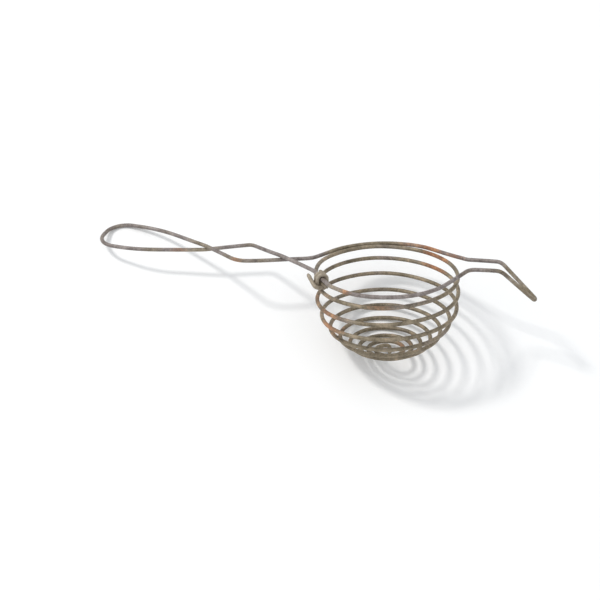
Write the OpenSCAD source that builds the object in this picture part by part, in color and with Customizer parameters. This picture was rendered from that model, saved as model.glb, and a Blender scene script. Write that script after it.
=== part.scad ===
// Spiral-wire egg ladle: a coiled wire bowl, a looped double-wire handle and a folded pan-rest hook.
// The tool is drawn in its own axes and then laid on a table, touching it with the end of the loop,
// the side of the bowl and the bent inner end of the coil.
// Own axes: origin at the centre of the rim hoop, Z up out of the bowl, -X along the handle,
// +X toward the hook, +Y to the left of someone who holds the handle.

/* [Wire] */
// Thickness of every wire
wire_d = 2; // [1.8:0.1:2]

/* [Rim and bowl] */
// Radius of the rim hoop, to the middle of the wire
rim_r = 36; // [34:0.5:38]
// How far the bowl hangs below the rim, to the middle of the wire
bowl_depth = 40; // [34:0.5:44]
// Number of turns in the coil
turns = 9.25; // [8.25:0.25:9.25]
// How far the middle of the bottom has sagged toward -Y
bowl_sag = 9; // [0:0.5:10]
// Tilt of the turns, high side toward +Y, in degrees
turn_tilt = 2.3; // [0:0.1:3]

/* [Handle] */
// Length from the middle of the rim to the crossing next to it
neck_x = 53; // [51:0.5:55]
// Length of the diamond eye, crossing to crossing
eye_len = 42; // [38:1:46]
// Width of the diamond eye, to the middle of the wire
eye_w = 23.4; // [18:0.2:25]
// Length of the hanging loop, from its crossing to its end
loop_len = 57; // [54:0.5:64]
// Width of the hanging loop, to the middle of the wire
loop_w = 23; // [18:0.5:26]
// Angle that the diamond eye is bent sideways, in degrees
eye_swing = 6.8; // [4:0.1:8]
// Angle that the hanging loop is bent sideways, in degrees
loop_swing = 5.4; // [3:0.1:7]
// Height of the loop's end over the rim
loop_rise = 2.4; // [0:0.2:4]
// How much higher the +Y side of the loop stands than its -Y side
loop_twist = 3.6; // [0:0.2:5]

/* [Pan-rest hook] */
// Length from the middle of the rim to the hook's bend
hook_arm = 57; // [54:1:60]
// Gap between the hook's two strands, to the middle of the wire
hook_w = 12.7; // [10:0.1:14]
// Offset of the hook toward +Y
hook_y = 11.1; // [6:0.1:12]
// Length from the middle of the rim to the hook's tip
hook_reach = 74; // [70:1:78]
// How far the tip hangs below the rim
hook_drop = 12; // [8:0.5:16]

/* [Lying on the table] */
// Roll about the tool's length, in degrees
lie_roll = -27; // [-30:0.1:-24]
// Dip of the handle toward the table, in degrees
lie_dip = -11.8; // [-14:0.1:-10]
// Turn about the vertical that brings the loop's end and the hook's tip into line with X
lie_turn = 2.6; // [0:0.1:5]

/* [Hidden] */

sides = 10;
turn_steps = 36;
bend_steps = 5;
cross_gap = 0.1;
cross_lift = wire_d / 2 + cross_gap;
// A faceted wire with this corner radius has the area of a round one
tube_r = wire_d / 2 * sqrt(2 * PI / (sides * sin(360 / sides)));

steel = [0.52, 0.48, 0.44];
worn_steel = [0.46, 0.42, 0.37];
dark_steel = [0.38, 0.34, 0.30];

// ---- Vectors and paths ----

function unit(v) = v / norm(v);
function on_circle(r, a) = [r * cos(a), r * sin(a), 0];

// A corner at p between the points a and b, rounded to the radius r
function bend(a, p, b, r) =
    let (u = unit(a - p))
    let (v = unit(b - p))
    let (half = acos(u * v) / 2)
    let (centre = p + unit(u + v) * r / sin(half))
    let (from = p + u * r / tan(half) - centre)
    let (to = p + v * r / tan(half) - centre)
    let (sweep = 180 - 2 * half)
    [for (i = [0 : bend_steps])
        centre + (sin((1 - i / bend_steps) * sweep) * from + sin(i / bend_steps * sweep) * to) / sin(sweep)];

// A bent wire: each corner is [point, bend radius], and the two ends have radius 0
function bent_path(corners) =
    [for (i = [0 : len(corners) - 1])
        let (p = corners[i][0])
        let (r = corners[i][1])
        for (q = r == 0 ? [p] : bend(corners[i - 1][0], p, corners[i + 1][0], r)) q];

// Direction of the path at point i
function heading(path, i) =
    unit(path[min(i + 1, len(path) - 1)] - path[max(i - 1, 0)]);

// A round wire along a path. The path never runs along the vector "ref".
module wire(path, ref = [0, 0, 1]) {
    count = len(path);
    points = [for (i = [0 : count - 1])
        let (t = heading(path, i))
        let (side = unit(cross(t, ref)))
        let (up = cross(side, t))
        for (k = [0 : sides - 1])
            path[i] + tube_r * (cos(k * 360 / sides) * side + sin(k * 360 / sides) * up)];
    skin = [for (i = [0 : count - 2])
        for (k = [0 : sides - 1])
            let (next = (k + 1) % sides)
            [i * sides + k, i * sides + next, (i + 1) * sides + next, (i + 1) * sides + k]];
    start_cap = [[for (k = [sides - 1 : -1 : 0]) k]];
    end_cap = [[for (k = [0 : sides - 1]) (count - 1) * sides + k]];
    polyhedron(points, concat(skin, start_cap, end_cap), convexity = 10);
}

// ---- Rim, handle and hook: one wire ----

// The point of a flat drawing that starts at "from" and runs toward -X, swung toward +Y:
// s along it, v across it
function swung(from, swing, s, v, z) =
    [from.x - s * cos(swing) + v * sin(swing),
     from.y + s * sin(swing) + v * cos(swing),
     z];

// Angle on the rim where a straight wire from the point p touches it; "way" is 1 or -1
function touch_angle(p, way) =
    atan2(p.y, p.x) + way * acos(rim_r / norm([p.x, p.y]));

neck = [-neck_x, 0.8, 1];
far_crossing = swung(neck, eye_swing, eye_len, 0, neck.z);

back_neck = 1.069 * on_circle(rim_r, 171.9) + [0, 0, 0.2];
front_neck = 0.9614 * on_circle(rim_r, -159.9) + [0, 0, 0.6];
// Two corners that flatten the rim between its near side and the handle
flat_from = 1.0177 * on_circle(rim_r, -105.5);
flat_to = 0.971 * on_circle(rim_r, -126.5);

back_root = [38.5, hook_y + hook_w / 2 + 2.3, 1.1];
front_root = [41.5, hook_y - hook_w / 2, 1.9];
back_bend = [hook_arm - 1.4, hook_y + hook_w / 2 - 1.2, 2.6];
front_bend = [hook_arm, hook_y - hook_w / 2, 2.3];
hook_bend = 6.5;
tip = [hook_reach, 7.4, -hook_drop];
tip_half = wire_d / 2 + 0.25;
// A little less than tip_half, so that the two bends of the tip don't quite meet
tip_bend = tip_half - 0.02;

// Height of a side of the loop at a fraction of the way to its end
function loop_z(part, way) = part * (loop_rise + way * loop_twist / 2);

// A point of the loop: s along it from the far crossing, v across it
function loop_point(s, v, z) = swung(far_crossing, loop_swing, s, v, z);

// Where a side of the eye is widest and its bend there: the -Y side is nearer the rim and rounder
function eye_wide_at(way) = 0.48 - 0.025 * way;
function eye_bend(way) = 6.5 + 2.5 * way;
cross_bend = 30;
// Where the loop is widest, half its width there, and how far it has risen
loop_wide_at = 0.56;
loop_half = 0.55 * loop_w;
loop_wide_rise = 0.7;
loop_wide_bend = 50;
loop_end_bend = 0.46 * loop_w;

// Strand of the handle that leaves the back of the rim: "way" 1. The other strand: "way" -1.
function handle_strand(way) = [
    [swung(neck, eye_swing, 0, 0, neck.z - way * cross_lift), cross_bend],
    [swung(neck, eye_swing, eye_wide_at(way) * eye_len, -way * eye_w / 2, neck.z), eye_bend(way)],
    [loop_point(0, 0, neck.z + way * cross_lift), cross_bend],
    [loop_point(loop_wide_at * loop_len, way * loop_half, loop_z(loop_wide_rise, way)), loop_wide_bend],
    [loop_point(loop_len, way * loop_w / 2, loop_z(1, way)), loop_end_bend]
];

rim_back_from = touch_angle(back_neck, -1);
rim_back_to = touch_angle(back_root, 1);
rim_front_from = touch_angle(front_root, -1);
rim_front_to = touch_angle(flat_from, 1);

// How far the rim's corner next to the hook is bent up, and where
rim_lift = 1;
rim_lift_angle = 35;
rim_lift_power = 8;

function rim_point(a) =
    on_circle(rim_r, a) + [0, 0, rim_lift * pow(cos((a - rim_lift_angle) / 2), rim_lift_power)];

// The rim between two angles, without its two end points
function rim_arc(from, to) =
    let (count = max(2, ceil(abs(to - from) / 10)))
    [for (i = [1 : count - 1]) rim_point(from + (to - from) * i / count)];

function reversed(list) = [for (i = [len(list) - 1 : -1 : 0]) list[i]];

// The wire's two ends meet in the middle of the binding, with this gap
joint_gap = 0.2;
along_joint = unit(front_neck - flat_to);
joint_at = 11;
joint = flat_to + joint_at * along_joint;

// From the joint out along the handle, round the loop, back to the rim, round its far side,
// out to the hook's tip and back along the near side to the joint
function frame_path() =
    concat(
        bent_path(concat(
            [[joint + joint_gap / 2 * along_joint, 0]],
            [[front_neck, 10]],
            handle_strand(-1),
            reversed(handle_strand(1)),
            [[back_neck, 8]],
            [[rim_point(rim_back_from), 0]])),
        rim_arc(rim_back_from, rim_back_to),
        bent_path([
            [rim_point(rim_back_to), 0],
            [back_root, 7],
            [back_bend, hook_bend],
            [tip + [0, tip_half, 0], tip_bend],
            [tip - [0, tip_half, 0], tip_bend],
            [front_bend, hook_bend],
            [front_root, 5],
            [rim_point(rim_front_from), 0]]),
        rim_arc(rim_front_from, rim_front_to),
        bent_path([
            [rim_point(rim_front_to), 0],
            [flat_from, 25],
            [flat_to, 18],
            [joint - joint_gap / 2 * along_joint, 0]])
    );

// ---- Bowl: one coiled wire ----

// Where the coil leaves the binding, and how much of a turn of it is in the binding and beyond
coil_start = 195.5;
coil_tail = 0.084;
// The coil's rows come down a rounded profile: "slope" is the angle down it from the rim
first_slope = 10.3;
slope_per_turn = 13.45;
slope_slowing = 0.564;
side_fullness = 0.768;
base_flatness = 2.04;
// The profile's widest radius, its top and its height, if the first turns weren't pulled in
side_r = rim_r + 7.94;
side_top = -3.45;
side_height = bowl_depth - 3.65;
// How the first turns are pulled in and up under the rim, and over how many turns it fades
tuck_in = 9.37;
tuck_up = 3.29;
tuck_turns = 1.81;
// The first tenth of a turn swings out and up beside the rim
lead_out = 1.4;
lead_turns = 0.15;
lead_up = 0.55;
lead_at = 0.06;
// The first turn swells outward between the hook's two strands
swell_out = 0.8;
swell_at = 0.5;
swell_turns = 0.12;
// Offset of the rows from the rim's centre, at the top and at the bottom
bowl_shift = [1.7, 1];
bottom_shift = 2.5;
// The wire's inner end is bent down, a little further round, until it meets the table
end_drop = 4.6;
end_bend = 1.6;
end_turns = turns + 0.04;

// Middle of the coiled wire after u turns, clockwise from above
function coil_point(u) =
    let (a = coil_start - 360 * u)
    let (slope = first_slope + slope_per_turn * u - slope_slowing * u * u)
    let (tuck = exp(-pow(u / tuck_turns, 2)))
    let (lead = lead_out * exp(-pow(u / lead_turns, 2)))
    let (swell = swell_out * exp(-pow((u - swell_at) / swell_turns, 2)))
    let (up = lead_up * exp(-pow((u - lead_at) / lead_at, 2)))
    let (r = side_r * pow(cos(slope), side_fullness) - tuck_in * tuck + lead + swell)
    let (fall = side_height * pow(sin(slope), base_flatness))
    let (z = side_top - fall + tuck_up * tuck + up)
    [r * cos(a) + bowl_shift.x - z * bottom_shift / bowl_depth,
     r * sin(a) + bowl_shift.y + z * bowl_sag / bowl_depth,
     z + r * tan(turn_tilt) * sin(a)];

// Neither the turns nor the bent end run along this
coil_ref = [0.3, 0, 1];

function coil_turns() =
    [for (i = [-round(coil_tail * turn_steps) : turns * turn_steps - 1]) coil_point(i / turn_steps)];

function coil_path() =
    concat(
        coil_turns(),
        bent_path([
            [coil_point(turns), 0],
            [coil_point(end_turns), end_bend],
            [coil_point(end_turns) - [0, 0, end_drop], 0]])
    );

// ---- Binding: a short wire wrapped round the rim and the start of the coil ----

wraps = 2.5;
wrap_steps = 24;
wrap_pitch = 2.15;
// Radius of the wraps, and half the distance between the two wires inside them
wrap_r = wire_d + 0.2;
wrap_half = wire_d / 2 + 0.05;
wrap_out = unit([-along_joint.y, along_joint.x, 0]);
wrap_centre = joint - [0, 0, wrap_half];
// The binding's free end turns back and lies along the outside of the wraps
free_out = wrap_r + wire_d + 0.1;
free_len = 9;
free_back = 0.8;
free_drop = wrap_half + 1;
free_bend = 1.7;

// A point of the wraps after q turns, and "s" from their middle along the wire
function wrap_point(q, s) =
    let (w = 90 + 360 * q)
    wrap_centre + s * along_joint + wrap_r * cos(w) * wrap_out
        + [0, 0, wrap_half * sign(sin(w)) + wrap_r * sin(w)];

wrap_end = -wraps / 2 * wrap_pitch;
free_corner = wrap_centre + (wrap_end - free_back) * along_joint + free_out * wrap_out - [0, 0, free_drop];
free_tip = wrap_centre + (wrap_end + free_len) * along_joint + free_out * wrap_out + [0, 0, wrap_half];

function binding_path() =
    concat(
        [for (i = [0 : wraps * wrap_steps - 1])
            wrap_point(i / wrap_steps, (wraps / 2 - i / wrap_steps) * wrap_pitch)],
        bent_path([
            [wrap_point(wraps, wrap_end), 0],
            [free_corner, free_bend],
            [free_tip, 0]])
    );

// ---- Lying on the table ----

// Where a point of the tool is once it is rolled, dipped and turned
function laid(p) =
    let (a = [p.x, p.y * cos(lie_roll) - p.z * sin(lie_roll), p.y * sin(lie_roll) + p.z * cos(lie_roll)])
    let (b = [a.x * cos(lie_dip) + a.z * sin(lie_dip), a.y, a.z * cos(lie_dip) - a.x * sin(lie_dip)])
    [b.x * cos(lie_turn) - b.y * sin(lie_turn), b.x * sin(lie_turn) + b.y * cos(lie_turn), b.z];

laid_points = [for (p = concat(frame_path(), coil_path(), binding_path())) laid(p)];
laid_x = [for (p = laid_points) p.x];
laid_y = [for (p = laid_points) p.y];
laid_z = [for (p = concat(frame_path(), coil_turns())) laid(p).z];
mid_x = (min(laid_x) + max(laid_x)) / 2;
mid_y = (min(laid_y) + max(laid_y)) / 2;

// Puts the tool on the table, Z = 0, over the origin
module at_rest() {
    translate([-mid_x, -mid_y, tube_r - min(laid_z)])
        rotate([lie_roll, lie_dip, lie_turn])
            children();
}

// ---- Sub-parts ----

module frame_wire() {
    color(steel) at_rest() wire(frame_path());
}

module basket_spiral() {
    color(worn_steel) at_rest() wire(coil_path(), coil_ref);
}

module binding() {
    color(dark_steel) at_rest() wire(binding_path(), along_joint);
}

frame_wire();
basket_spiral();
binding();
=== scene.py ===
import math

import bpy
from mathutils import Euler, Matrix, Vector, noise


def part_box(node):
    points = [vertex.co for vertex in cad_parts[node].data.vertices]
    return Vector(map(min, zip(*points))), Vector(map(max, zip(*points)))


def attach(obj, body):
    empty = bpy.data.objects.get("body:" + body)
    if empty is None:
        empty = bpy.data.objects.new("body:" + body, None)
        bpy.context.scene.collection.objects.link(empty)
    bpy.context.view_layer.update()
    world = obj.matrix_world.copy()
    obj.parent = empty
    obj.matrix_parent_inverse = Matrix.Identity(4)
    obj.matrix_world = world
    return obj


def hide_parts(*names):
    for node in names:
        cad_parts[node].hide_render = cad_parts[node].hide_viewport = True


# A vintage spiral-wire egg ladle lying on a table. The three wires of the CAD model are drawn again along
# the same routes, as round wire that is slightly uneven, with domed ends, two worn coats and some rust.
# Lengths are in millimetres in the tool's own axes, angles in degrees, and MM turns lengths into metres.

MM = 0.001

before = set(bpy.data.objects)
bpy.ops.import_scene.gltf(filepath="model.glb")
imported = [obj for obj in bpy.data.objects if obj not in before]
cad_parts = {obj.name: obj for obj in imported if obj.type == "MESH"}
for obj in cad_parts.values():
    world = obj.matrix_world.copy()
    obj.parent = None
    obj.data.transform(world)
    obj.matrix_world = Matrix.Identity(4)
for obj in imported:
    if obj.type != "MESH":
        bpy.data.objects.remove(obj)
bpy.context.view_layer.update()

# ---- The tool's own dimensions, as in the CAD model ----
# Its own axes: origin at the centre of the rim hoop, Z up out of the bowl, -X along the handle,
# +X toward the hook, +Y to the left of someone who holds the handle.

WIRE_R = 1.0
RIM_R = 36.0
BOWL_DEPTH = 40.0
TURNS = 9.25
BOWL_SAG = 9.0
TURN_TILT = 2.3
NECK_X = 53.0
EYE_LEN = 42.0
EYE_W = 23.4
LOOP_LEN = 57.0
LOOP_W = 23.0
EYE_SWING = 6.8
LOOP_SWING = 5.4
LOOP_RISE = 2.4
LOOP_TWIST = 3.6
HOOK_ARM = 57.0
HOOK_W = 12.7
HOOK_Y = 11.1
HOOK_REACH = 74.0
HOOK_DROP = 12.0
LIE_ROLL = -27.0
LIE_DIP = -11.8
LIE_TURN = 2.6

# ---- How finely the visible wires are drawn ----

BEND_STEPS = 14
RIM_STEP = 3.0
TURN_STEPS = 108
WRAP_STEPS = 60
SIDES = 20
RING_STEP = 0.6


# ---- Angles and bends ----

def cosd(a):
    return math.cos(math.radians(a))


def sind(a):
    return math.sin(math.radians(a))


def on_circle(r, a):
    return Vector((r * cosd(a), r * sind(a), 0))


def up(z):
    return Vector((0, 0, z))


def bend(a, p, b, r):
    """The corner at p of a wire that comes from a and goes to b, rounded to the radius r."""
    u = (a - p).normalized()
    v = (b - p).normalized()
    half = math.acos(u.dot(v)) / 2
    centre = p + (u + v).normalized() * r / math.sin(half)
    start = p + u * r / math.tan(half) - centre
    end = p + v * r / math.tan(half) - centre
    sweep = math.pi - 2 * half
    points = []
    for i in range(BEND_STEPS + 1):
        t = i / BEND_STEPS
        part = math.sin((1 - t) * sweep) * start + math.sin(t * sweep) * end
        points.append(centre + part / math.sin(sweep))
    return points


def bent_path(corners):
    """A bent wire. Each corner is (point, bend radius), and the two ends have radius 0."""
    points = []
    for i, (p, r) in enumerate(corners):
        if r == 0:
            points.append(p)
        else:
            points.extend(bend(corners[i - 1][0], p, corners[i + 1][0], r))
    return points


# ---- Rim, handle and hook: one wire ----

CROSS_LIFT = WIRE_R + 0.1
CROSS_BEND = 30
# Where the loop is widest, half its width there, and how far it has risen
LOOP_WIDE_AT = 0.56
LOOP_HALF = 0.55 * LOOP_W
LOOP_WIDE_RISE = 0.7
LOOP_WIDE_BEND = 50
LOOP_END_BEND = 0.46 * LOOP_W
# How far the rim's corner next to the hook is bent up, and where
RIM_LIFT = 1.0
RIM_LIFT_ANGLE = 35
RIM_LIFT_POWER = 8


def swung(start, swing, s, v, z):
    """A point s along and v across a flat drawing that starts at "start" and runs toward -X."""
    return Vector((
        start.x - s * cosd(swing) + v * sind(swing),
        start.y + s * sind(swing) + v * cosd(swing),
        z))


def touch_angle(p, way):
    """Angle on the rim where a straight wire from p touches it. "way" is 1 or -1."""
    turn = math.degrees(math.acos(RIM_R / math.hypot(p.x, p.y)))
    return math.degrees(math.atan2(p.y, p.x)) + way * turn


def rim_point(a):
    """A point of the rim, whose corner next to the hook is bent up a little."""
    return on_circle(RIM_R, a) + up(RIM_LIFT * cosd((a - RIM_LIFT_ANGLE) / 2) ** RIM_LIFT_POWER)


def rim_arc(start, end):
    """The rim between two angles, without its two end points."""
    count = max(2, math.ceil(abs(end - start) / RIM_STEP))
    return [rim_point(start + (end - start) * i / count) for i in range(1, count)]


NECK = Vector((-NECK_X, 0.8, 1))
FAR_CROSSING = swung(NECK, EYE_SWING, EYE_LEN, 0, NECK.z)
BACK_NECK = 1.069 * on_circle(RIM_R, 171.9) + up(0.2)
FRONT_NECK = 0.9614 * on_circle(RIM_R, -159.9) + up(0.6)
# Two corners that flatten the rim between its near side and the handle
FLAT_FROM = 1.0177 * on_circle(RIM_R, -105.5)
FLAT_TO = 0.971 * on_circle(RIM_R, -126.5)
# The wire's two ends meet in the middle of the binding, with this gap
JOINT_GAP = 0.2
JOINT_AT = 11
ALONG_JOINT = (FRONT_NECK - FLAT_TO).normalized()
JOINT = FLAT_TO + JOINT_AT * ALONG_JOINT


def loop_z(part, way):
    """Height of a side of the loop at a fraction of the way to its end."""
    return part * (LOOP_RISE + way * LOOP_TWIST / 2)


def loop_point(s, v, z):
    """A point of the loop: s along it from the far crossing, v across it."""
    return swung(FAR_CROSSING, LOOP_SWING, s, v, z)


def handle_strand(way):
    """The strand of the handle that leaves the back of the rim is way 1 and the other is way -1."""
    eye_wide_at = 0.48 - 0.025 * way
    eye_bend = 6.5 + 2.5 * way
    return [
        (swung(NECK, EYE_SWING, 0, 0, NECK.z - way * CROSS_LIFT), CROSS_BEND),
        (swung(NECK, EYE_SWING, eye_wide_at * EYE_LEN, -way * EYE_W / 2, NECK.z), eye_bend),
        (loop_point(0, 0, NECK.z + way * CROSS_LIFT), CROSS_BEND),
        (loop_point(LOOP_WIDE_AT * LOOP_LEN, way * LOOP_HALF, loop_z(LOOP_WIDE_RISE, way)), LOOP_WIDE_BEND),
        (loop_point(LOOP_LEN, way * LOOP_W / 2, loop_z(1, way)), LOOP_END_BEND)]


def frame_route():
    """From the joint out along the handle, round the loop, back to the rim, round its far side,
    out to the hook's tip and back along the near side to the joint."""
    back_root = Vector((38.5, HOOK_Y + HOOK_W / 2 + 2.3, 1.1))
    front_root = Vector((41.5, HOOK_Y - HOOK_W / 2, 1.9))
    back_bend = Vector((HOOK_ARM - 1.4, HOOK_Y + HOOK_W / 2 - 1.2, 2.6))
    front_bend = Vector((HOOK_ARM, HOOK_Y - HOOK_W / 2, 2.3))
    hook_bend = 6.5
    tip = Vector((HOOK_REACH, 7.4, -HOOK_DROP))
    tip_half = WIRE_R + 0.25
    # A little less than tip_half, so that the two bends of the tip don't quite meet
    tip_bend = tip_half - 0.02
    across = Vector((0, tip_half, 0))
    half_gap = JOINT_GAP / 2 * ALONG_JOINT
    back_from = touch_angle(BACK_NECK, -1)
    back_to = touch_angle(back_root, 1)
    front_from = touch_angle(front_root, -1)
    front_to = touch_angle(FLAT_FROM, 1)
    handle = [
        (JOINT + half_gap, 0), (FRONT_NECK, 10),
        *handle_strand(-1), *reversed(handle_strand(1)),
        (BACK_NECK, 8), (rim_point(back_from), 0)]
    hook = [
        (rim_point(back_to), 0), (back_root, 7), (back_bend, hook_bend),
        (tip + across, tip_bend), (tip - across, tip_bend),
        (front_bend, hook_bend), (front_root, 5), (rim_point(front_from), 0)]
    near_side = [(rim_point(front_to), 0), (FLAT_FROM, 25), (FLAT_TO, 18), (JOINT - half_gap, 0)]
    return [
        *bent_path(handle), *rim_arc(back_from, back_to),
        *bent_path(hook), *rim_arc(front_from, front_to), *bent_path(near_side)]


# ---- Bowl: one coiled wire ----

# Where the coil leaves the binding, and how much of a turn of it is in the binding and beyond
COIL_START = 195.5
COIL_TAIL = 0.084
# The coil's rows come down a rounded profile: "slope" is the angle down it from the rim
FIRST_SLOPE = 10.3
SLOPE_PER_TURN = 13.45
SLOPE_SLOWING = 0.564
SIDE_FULLNESS = 0.768
BASE_FLATNESS = 2.04
# The profile's widest radius, its top and its height, if the first turns weren't pulled in
SIDE_R = RIM_R + 7.94
SIDE_TOP = -3.45
SIDE_HEIGHT = BOWL_DEPTH - 3.65
# How the first turns are pulled in and up under the rim, and over how many turns it fades
TUCK_IN = 9.37
TUCK_UP = 3.29
TUCK_TURNS = 1.81
# The first tenth of a turn swings out and up beside the rim
LEAD_OUT = 1.4
LEAD_TURNS = 0.15
LEAD_UP = 0.55
LEAD_AT = 0.06
# The first turn swells outward between the hook's two strands
SWELL_OUT = 0.8
SWELL_AT = 0.5
SWELL_TURNS = 0.12
# Offset of the rows from the rim's centre, at the top and at the bottom
BOWL_SHIFT_X = 1.7
BOWL_SHIFT_Y = 1.0
BOTTOM_SHIFT = 2.5
# The wire's inner end is bent down, a little further round, until it meets the table
END_DROP = 4.6
END_BEND = 1.6
END_TURNS = TURNS + 0.04


def hump(u, at, width):
    """1 at the turn "at", fading smoothly over about "width" turns on each side of it."""
    return math.exp(-((u - at) / width) ** 2)


def coil_point(u):
    """Middle of the coiled wire after u turns, clockwise from above."""
    a = COIL_START - 360 * u
    slope = FIRST_SLOPE + SLOPE_PER_TURN * u - SLOPE_SLOWING * u * u
    tuck = hump(u, 0, TUCK_TURNS)
    lead = LEAD_OUT * hump(u, 0, LEAD_TURNS)
    swell = SWELL_OUT * hump(u, SWELL_AT, SWELL_TURNS)
    rise = LEAD_UP * hump(u, LEAD_AT, LEAD_AT)
    r = SIDE_R * cosd(slope) ** SIDE_FULLNESS - TUCK_IN * tuck + lead + swell
    z = SIDE_TOP - SIDE_HEIGHT * sind(slope) ** BASE_FLATNESS + TUCK_UP * tuck + rise
    return Vector((
        r * cosd(a) + BOWL_SHIFT_X - z * BOTTOM_SHIFT / BOWL_DEPTH,
        r * sind(a) + BOWL_SHIFT_Y + z * BOWL_SAG / BOWL_DEPTH,
        z + r * math.tan(math.radians(TURN_TILT)) * sind(a)))


def coil_route():
    """The turns, from just outside the binding through it to the inner end, bent down to the table."""
    first = -round(COIL_TAIL * TURN_STEPS)
    coil = [coil_point(i / TURN_STEPS) for i in range(first, int(TURNS * TURN_STEPS))]
    corner = coil_point(END_TURNS)
    return coil + bent_path([(coil_point(TURNS), 0), (corner, END_BEND), (corner - up(END_DROP), 0)])


# ---- Binding: a short wire wrapped round the rim and the start of the coil ----

WRAPS = 2.5
WRAP_PITCH = 2.15
# Radius of the wraps, and half the distance between the two wires inside them
WRAP_R = 2 * WIRE_R + 0.2
WRAP_HALF = WIRE_R + 0.05
WRAP_OUT = Vector((-ALONG_JOINT.y, ALONG_JOINT.x, 0)).normalized()
WRAP_CENTRE = JOINT - up(WRAP_HALF)
# The binding's free end turns back and lies along the outside of the wraps
FREE_OUT = WRAP_R + 2 * WIRE_R + 0.1
FREE_LEN = 9
FREE_BACK = 0.8
FREE_DROP = WRAP_HALF + 1
FREE_BEND = 1.7


def wrap_point(i):
    """A point of the wraps after i steps. At the outer and inner side of a wrap its height is 0."""
    q = i / WRAP_STEPS
    w = 90 + 360 * q
    at_side = i % (WRAP_STEPS // 2) == WRAP_STEPS // 4
    shift = 0 if at_side else math.copysign(WRAP_HALF, sind(w))
    along = (WRAPS / 2 - q) * WRAP_PITCH * ALONG_JOINT
    return WRAP_CENTRE + along + WRAP_R * cosd(w) * WRAP_OUT + up(shift + WRAP_R * sind(w))


def binding_route():
    """Two and a half wraps, then the free end, which turns back along the outside of them."""
    points = [wrap_point(i) for i in range(int(WRAPS * WRAP_STEPS) + 1)]
    end = -WRAPS / 2 * WRAP_PITCH
    free_out = FREE_OUT * WRAP_OUT
    corner = WRAP_CENTRE + (end - FREE_BACK) * ALONG_JOINT + free_out - up(FREE_DROP)
    tip = WRAP_CENTRE + (end + FREE_LEN) * ALONG_JOINT + free_out + up(WRAP_HALF)
    return points[:-1] + bent_path([(points[-1], 0), (corner, FREE_BEND), (tip, 0)])


# ---- Laying the tool on the table ----

LIE = Euler([math.radians(a) for a in (LIE_ROLL, LIE_DIP, LIE_TURN)], "XYZ").to_matrix()


def laid(points):
    return [LIE @ p for p in points]


def middle(points):
    """Centre of the box round some points."""
    return Vector([(min(p[k] for p in points) + max(p[k] for p in points)) / 2 for k in range(3)])


low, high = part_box("frame_wire")
FRAME_ROUTE = laid(frame_route())
SHIFT = (low + high) / (2 * MM) - middle(FRAME_ROUTE)


def place_of(p):
    """A point of the tool's own axes, in millimetres, as a place on the laid tool in metres."""
    return (LIE @ Vector(p) + SHIFT) * MM


# ---- Wires as meshes ----

# noise_vector starts from the clock unless it is given a seed
NOISE_SEED = 5
noise.seed_set(NOISE_SEED)

SAME_POINT = 1e-6
SOFTEN_ROUNDS = 2
# Share of the wire's radius in the first rings of each end
END_DOME = {0: 0.62, 1: 0.86, 2: 0.97}
# Unevenness of the wire: how strong it is, as a share of the radius, and how fine
WAVER_SCALE = 0.045
THICKNESS_CHANGE = 0.018
THICKNESS_SCALE = 0.35
DENT_DEPTH = 0.012
DENT_SCALE = 1.4


def even(points, step):
    """The same route with a point about every step, so that the wire's surface is even."""
    out = [points[0].copy()]
    for a, b in zip(points, points[1:]):
        length = (b - a).length
        if length > SAME_POINT:
            count = max(1, round(length / step))
            out.extend(a.lerp(b, (i + 1) / count) for i in range(count))
    return out


def softened(points, rounds):
    """The route with its small corners rounded off."""
    for _ in range(rounds):
        inner = [(a + 2 * p + b) / 4 for a, p, b in zip(points, points[1:], points[2:])]
        points = [points[0], *inner, points[-1]]
    return points


def wire_rings(points, waver, seed):
    """The vertices of a round wire, one ring for each point of its route, in metres."""
    vertices = []
    side = (points[1] - points[0]).normalized().orthogonal().normalized()
    for i, p in enumerate(points):
        ahead = (points[min(i + 1, len(points) - 1)] - points[max(i - 1, 0)]).normalized()
        side = (side - ahead * side.dot(ahead)).normalized()
        other = ahead.cross(side)
        drift = noise.noise_vector(p * WAVER_SCALE + Vector((seed, 0, 0))) * waver
        uneven = THICKNESS_CHANGE * noise.noise(p * THICKNESS_SCALE + Vector((0, seed, 0)))
        near_end = min(i, len(points) - 1 - i)
        radius = WIRE_R * END_DOME.get(near_end, 1.0) * (1 + uneven)
        for k in range(SIDES):
            a = 2 * math.pi * k / SIDES
            out = math.cos(a) * side + math.sin(a) * other
            dent = 1 + DENT_DEPTH * noise.noise((p + out) * DENT_SCALE)
            vertices.append((p + drift + out * radius * dent) * MM)
    return vertices


def wire_faces(rings):
    """The skin between the rings of a wire, and its two end faces."""
    faces = []
    for i in range(rings - 1):
        for k in range(SIDES):
            n = (k + 1) % SIDES
            faces.append((i * SIDES + k, i * SIDES + n, (i + 1) * SIDES + n, (i + 1) * SIDES + k))
    last = (rings - 1) * SIDES
    faces.append(tuple(range(SIDES - 1, -1, -1)))
    faces.append(tuple(last + k for k in range(SIDES)))
    return faces


def wire(name, route, waver, seed):
    """A round wire along a laid route. It strays from the route by up to about "waver"."""
    points = softened(even([p + SHIFT for p in route], RING_STEP), SOFTEN_ROUNDS)
    mesh = bpy.data.meshes.new(name)
    mesh.from_pydata(wire_rings(points, waver, seed), [], wire_faces(len(points)))
    mesh.update()
    for face in mesh.polygons:
        face.use_smooth = len(face.vertices) == 4
    piece = bpy.data.objects.new(name, mesh)
    bpy.context.scene.collection.objects.link(piece)
    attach(piece, "root")
    return piece


# ---- Nodes that the materials are made of ----

def shader_graph(name):
    material = bpy.data.materials.new(name)
    material.use_nodes = True
    tree = material.node_tree
    return material, tree, tree.nodes["Principled BSDF"]


def add(tree, kind, **values):
    node = tree.nodes.new(kind)
    for key, value in values.items():
        setattr(node, key, value)
    return node


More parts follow.
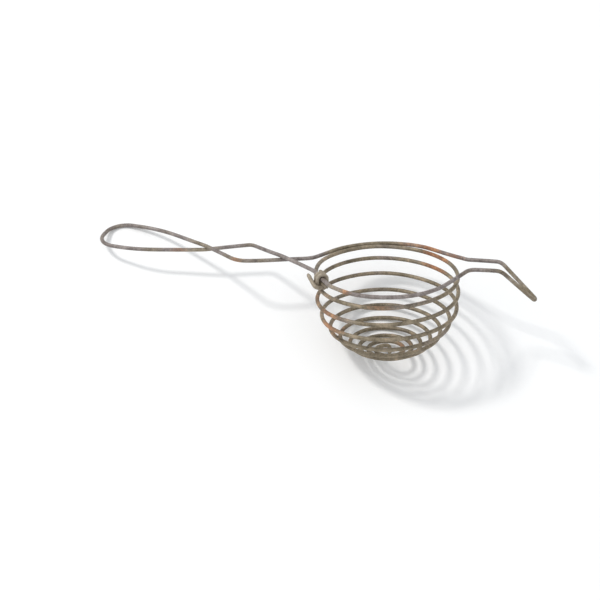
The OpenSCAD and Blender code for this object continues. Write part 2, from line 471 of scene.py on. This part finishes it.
def noise_at(tree, place, scale, detail, rough, distortion=0.0):
    """Smooth noise from 0 to 1. The scale is in waves per metre."""
    node = add(tree, "ShaderNodeTexNoise")
    node.inputs["Scale"].default_value = scale
    node.inputs["Detail"].default_value = detail
    node.inputs["Roughness"].default_value = rough
    node.inputs["Distortion"].default_value = distortion
    tree.links.new(place, node.inputs["Vector"])
    return node.outputs["Fac"]


def ramp(tree, value, stops):
    """The value turned into colours. Each stop is (value, colour)."""
    node = add(tree, "ShaderNodeValToRGB")
    elements = node.color_ramp.elements
    while len(elements) < len(stops):
        elements.new(0.5)
    for element, (at, colour) in zip(elements, stops):
        element.position = at
        element.color = (*colour, 1.0)
    tree.links.new(value, node.inputs["Fac"])
    return node.outputs["Color"]


def grey(v):
    return (v, v, v)


def maths(tree, how, a, b):
    """Two values, each a number or a socket, put together by a Math node."""
    node = add(tree, "ShaderNodeMath", operation=how)
    for socket, value in zip(node.inputs, (a, b)):
        if isinstance(value, (int, float)):
            socket.default_value = value
        else:
            tree.links.new(value, socket)
    return node.outputs[0]


def blended(tree, a, a_share, b, b_share):
    """Two values added together, each times its share."""
    return maths(tree, "ADD", maths(tree, "MULTIPLY", a, a_share), maths(tree, "MULTIPLY", b, b_share))


def mixed(tree, mask, a, b):
    """a where the mask is 0 and b where it is 1. a and b are sockets or colours."""
    node = add(tree, "ShaderNodeMix", data_type="RGBA")
    sockets = [s for s in node.inputs if s.enabled]
    for socket, value in zip(sockets, (mask, a, b)):
        if isinstance(value, tuple):
            socket.default_value = (*value, 1.0)
        else:
            tree.links.new(value, socket)
    return next(s for s in node.outputs if s.enabled)


def near_spots(tree, place, spots):
    """The strength of the nearest spot at each place, and 0 beyond the reach of all of them.
    Each spot is (own place in millimetres, reach in millimetres, strength)."""
    # Share of its reach within which a spot is at its full strength
    full_within = 0.2
    total = 0.0
    for centre, reach, strength in spots:
        gap = add(tree, "ShaderNodeVectorMath", operation="DISTANCE")
        tree.links.new(place, gap.inputs[0])
        gap.inputs[1].default_value = place_of(centre)
        fall = add(tree, "ShaderNodeMapRange", clamp=True)
        fall.inputs["From Min"].default_value = reach * MM
        fall.inputs["From Max"].default_value = reach * MM * full_within
        fall.inputs["To Max"].default_value = strength
        tree.links.new(gap.outputs["Value"], fall.inputs["Value"])
        total = maths(tree, "MAXIMUM", total, fall.outputs["Result"])
    return total


# ---- Materials ----

# Each coat goes from its worn dark places to its bright ones
GREY_COAT = [(0.36, (0.120, 0.100, 0.093)), (0.50, (0.225, 0.193, 0.180)), (0.66, (0.360, 0.325, 0.310))]
OLIVE_COAT = [(0.36, (0.115, 0.093, 0.063)), (0.50, (0.245, 0.202, 0.140)), (0.66, (0.410, 0.355, 0.265))]
RUST_COAT = [(0.34, (0.180, 0.086, 0.048)), (0.50, (0.350, 0.178, 0.103)), (0.68, (0.640, 0.335, 0.160))]
PALE_COAT = [(0.36, (0.200, 0.165, 0.125)), (0.50, (0.340, 0.290, 0.225)), (0.66, (0.480, 0.430, 0.360))]


def worn_wire(name, coats, second, second_spots, rust, rust_spots):
    """Old tinned wire: patches of two dull coats, worn dark in places, with rust on some of it.
    "second" and "rust" say how much there is of the second coat and of rust away from their spots."""
    material, tree, shader = shader_graph(name)
    place = add(tree, "ShaderNodeTexCoord").outputs["Object"]
    broad = noise_at(tree, place, scale=140, detail=5.0, rough=0.6, distortion=0.6)
    patches = noise_at(tree, place, scale=45, detail=3.0, rough=0.5)
    fine = noise_at(tree, place, scale=900, detail=6.0, rough=0.65, distortion=0.3)
    pits = noise_at(tree, place, scale=2600, detail=3.0, rough=0.6)
    wear = blended(tree, broad, 0.55, fine, 0.45)

    second_near = near_spots(tree, place, second_spots)
    second_part = maths(tree, "ADD", patches, maths(tree, "ADD", second_near, second - 0.5))
    second_mask = ramp(tree, second_part, [(0.42, grey(0.0)), (0.62, grey(1.0))])
    coat = mixed(tree, second_mask, ramp(tree, wear, coats[0]), ramp(tree, wear, coats[1]))

    rusty = maths(tree, "ADD", near_spots(tree, place, rust_spots), rust)
    rust_part = maths(tree, "ADD", rusty, maths(tree, "MULTIPLY", maths(tree, "ADD", fine, broad), 0.5))
    rust_mask = ramp(tree, rust_part, [(0.60, grey(0.0)), (0.95, grey(1.0))])
    tree.links.new(mixed(tree, rust_mask, coat, ramp(tree, wear, RUST_COAT)), shader.inputs["Base Color"])

    metal = ramp(tree, rust_mask, [(0.0, grey(0.25)), (0.7, grey(0.0))])
    rough = ramp(tree, fine, [(0.25, grey(0.40)), (0.75, grey(0.62))])
    tree.links.new(metal, shader.inputs["Metallic"])
    tree.links.new(mixed(tree, rust_mask, rough, grey(0.88)), shader.inputs["Roughness"])
    shader.inputs["Specular IOR Level"].default_value = 0.3

    bump = add(tree, "ShaderNodeBump")
    bump.inputs["Strength"].default_value = 0.4
    bump.inputs["Distance"].default_value = 0.12 * MM
    tree.links.new(blended(tree, fine, 0.7, pits, 0.3), bump.inputs["Height"])
    tree.links.new(bump.outputs["Normal"], shader.inputs["Normal"])
    return material


def pale_floor():
    """Matt white paper with a faint cool and warm cloud in it."""
    material, tree, shader = shader_graph("pale_floor")
    place = add(tree, "ShaderNodeTexCoord").outputs["Object"]
    cloud = noise_at(tree, place, scale=4, detail=2.0, rough=0.5)
    paper = ramp(tree, cloud, [(0.3, (0.93, 0.94, 0.95)), (0.7, (0.96, 0.96, 0.96))])
    tree.links.new(paper, shader.inputs["Base Color"])
    shader.inputs["Roughness"].default_value = 0.9
    return material


# ---- Camera, light and floor ----

CAMERA_PLACE = (0.07897, -0.45535, 0.58132)
CAMERA_TURN = (38.43, -4.34, 15.58)
CAMERA_LENS = 86.7
CAMERA_SENSOR = 36.0
SKY_COLOUR = (0.97, 0.985, 1.0, 1.0)
SKY_STRENGTH = 0.81
FLOOR_HALF = 4

camera_data = bpy.data.cameras.new("camera")
camera_data.lens = CAMERA_LENS
camera_data.sensor_width = CAMERA_SENSOR
camera = bpy.data.objects.new("camera", camera_data)
camera.location = CAMERA_PLACE
camera.rotation_euler = Euler([math.radians(a) for a in CAMERA_TURN], "XYZ")
bpy.context.scene.collection.objects.link(camera)
bpy.context.scene.camera = camera


def area_light(name, azimuth, elevation, distance, size, power, colour):
    """A soft square light that points at the tool. Azimuth 0 is along +X and 90 along +Y."""
    data = bpy.data.lights.new(name, "AREA")
    data.size = size
    data.energy = power
    data.color = colour
    light = bpy.data.objects.new(name, data)
    toward = Vector((cosd(elevation) * cosd(azimuth), cosd(elevation) * sind(azimuth), sind(elevation)))
    light.location = toward * distance
    light.rotation_euler = toward.to_track_quat("Z", "Y").to_euler()
    bpy.context.scene.collection.objects.link(light)


area_light(
    "key", azimuth=174.7, elevation=50.2, distance=1.9, size=0.26, power=15.0, colour=(1.0, 0.98, 0.95))
area_light(
    "fill", azimuth=-70, elevation=60, distance=1.4, size=1.2, power=0.6, colour=(0.95, 0.98, 1.0))

world = bpy.data.worlds.new("studio")
world.use_nodes = True
background = world.node_tree.nodes["Background"]
background.inputs["Color"].default_value = SKY_COLOUR
background.inputs["Strength"].default_value = SKY_STRENGTH
bpy.context.scene.world = world
bpy.context.scene.view_settings.view_transform = "Standard"

floor_corners = [(x * FLOOR_HALF, y * FLOOR_HALF, 0) for x, y in ((-1, -1), (1, -1), (1, 1), (-1, 1))]
floor_mesh = bpy.data.meshes.new("floor")
floor_mesh.from_pydata(floor_corners, [], [(0, 1, 2, 3)])
floor_mesh.materials.append(pale_floor())
floor = bpy.data.objects.new("floor", floor_mesh)
bpy.context.scene.collection.objects.link(floor)

# ---- The tool ----

# Spots of a coat or of rust: (own place, reach, strength)
FAR_RIM_OLIVE = [((-18, 31, 0), 32, 0.4)]
FAR_RIM_RUST = [((18, 31, 1), 13, 0.5), ((30, 20, 0.5), 9, 0.4), ((6, 35, 0.3), 9, 0.25)]
HANDLE_RUST = [((-108, 2.5, 0), 6, 0.28), ((-74, -8, 1), 5, 0.3)]
NEAR_RIM_RUST = [((-11, -34, 0), 5, 0.34)]
COIL_RUST = [
    ((22, 28, -2), 12, 0.7), ((24, 26, -9), 8, 0.35),
    ((-31, -12, -10), 13, 0.26), ((-20, -27, -18), 14, 0.34),
    ((4, -32, -6), 9, 0.25), ((11, -4, -39), 7, 0.25), ((-20, -9, -33), 9, 0.25)]
BINDING_RUST = [((-30, -18, 0), 4, 0.2)]

frame_piece = wire("frame_wire_worn", FRAME_ROUTE, waver=0.25, seed=3.0)
frame_piece.data.materials.append(worn_wire(
    "worn_frame_wire", (GREY_COAT, OLIVE_COAT), second=0.44, second_spots=FAR_RIM_OLIVE,
    rust=0.0, rust_spots=FAR_RIM_RUST + HANDLE_RUST + NEAR_RIM_RUST))
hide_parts("frame_wire")

coil_piece = wire("basket_spiral_worn", laid(coil_route()), waver=0.3, seed=11.0)
coil_piece.data.materials.append(worn_wire(
    "worn_basket_wire", (GREY_COAT, OLIVE_COAT), second=0.66, second_spots=[],
    rust=0.06, rust_spots=COIL_RUST))
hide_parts("basket_spiral")

binding_piece = wire("binding_worn", laid(binding_route()), waver=0.0, seed=0.0)
binding_piece.data.materials.append(worn_wire(
    "worn_binding_wire", (OLIVE_COAT, PALE_COAT), second=0.75, second_spots=[],
    rust=0.0, rust_spots=BINDING_RUST))
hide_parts("binding")
